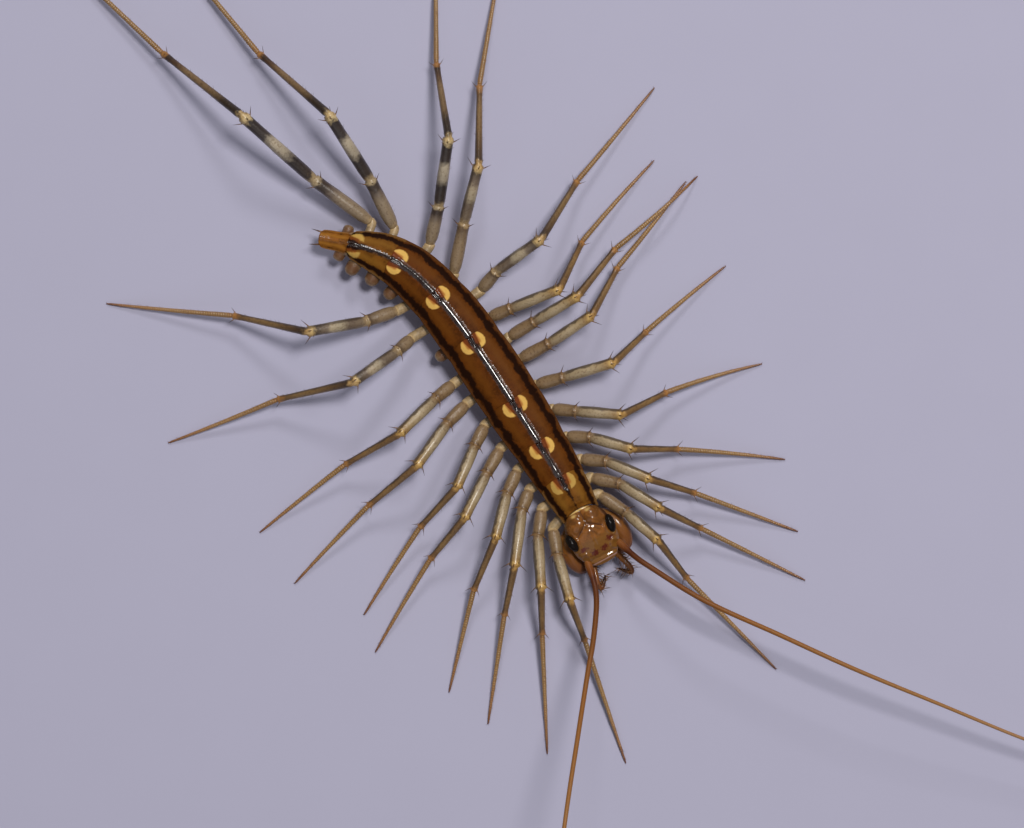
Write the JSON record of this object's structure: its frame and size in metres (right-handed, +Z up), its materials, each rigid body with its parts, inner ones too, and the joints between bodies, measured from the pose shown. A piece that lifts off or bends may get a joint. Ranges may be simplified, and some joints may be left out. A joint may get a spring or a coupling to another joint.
{
  "type": "house centipede model",
  "caption": "Life-size still model of a house centipede standing on the floor, with its long banded legs and feelers spread.",
  "frame": {"origin": "on the floor, under the middle of the whole animal", "axes": "the head faces -Y, the tail lies towards +Y, the animal's left is +X, and +Z is up"},
  "size_m": [0.0516, 0.0956, 0.0145],
  "materials": {
    "plate": "waxy brown shell",
    "front_plate": "waxy golden brown shell",
    "tail": "waxy golden brown shell",
    "head": "glossy orange-brown shell",
    "eye": "glossy black",
    "mouthpart": "glossy brown",
    "leg": "satin tan with darker rings",
    "rear_leg": "satin tan with dark and pale bands",
    "antenna": "satin reddish brown"
  },
  "bodies": {
    "root": {"head": "head", "eye_left": "eye", "eye_right": "eye", "forcipule_left": "mouthpart", "forcipule_right": "mouthpart", "palp_left": "mouthpart", "palp_right": "mouthpart", "antenna_left_base": "antenna", "antenna_left_middle": "antenna", "antenna_left_tip": "antenna", "antenna_right_base": "antenna", "antenna_right_middle": "antenna", "antenna_right_tip": "antenna", "trunk_1": "front_plate", "trunk_2": "plate", "trunk_3": "plate", "trunk_4": "plate", "trunk_5": "plate", "trunk_6": "plate", "trunk_7": "plate", "tail": "tail", "leg_left_1": "leg", "leg_left_2": "leg", "leg_left_3": "leg", "leg_left_4": "leg", "leg_left_5": "leg", "leg_left_6": "leg", "leg_left_7": "leg", "leg_left_8": "leg", "leg_left_9": "leg", "leg_left_10": "rear_leg", "leg_left_11": "rear_leg", "leg_left_12": "rear_leg", "leg_left_13": "rear_leg", "leg_left_14": "rear_leg", "leg_right_1": "leg", "leg_right_2": "leg", "leg_right_3": "leg", "leg_right_4": "leg", "leg_right_5": "leg", "leg_right_6": "leg", "leg_right_7": "leg", "leg_right_8": "leg", "leg_right_10": "rear_leg", "leg_right_11": "rear_leg"}
  },
  "joints": []
}
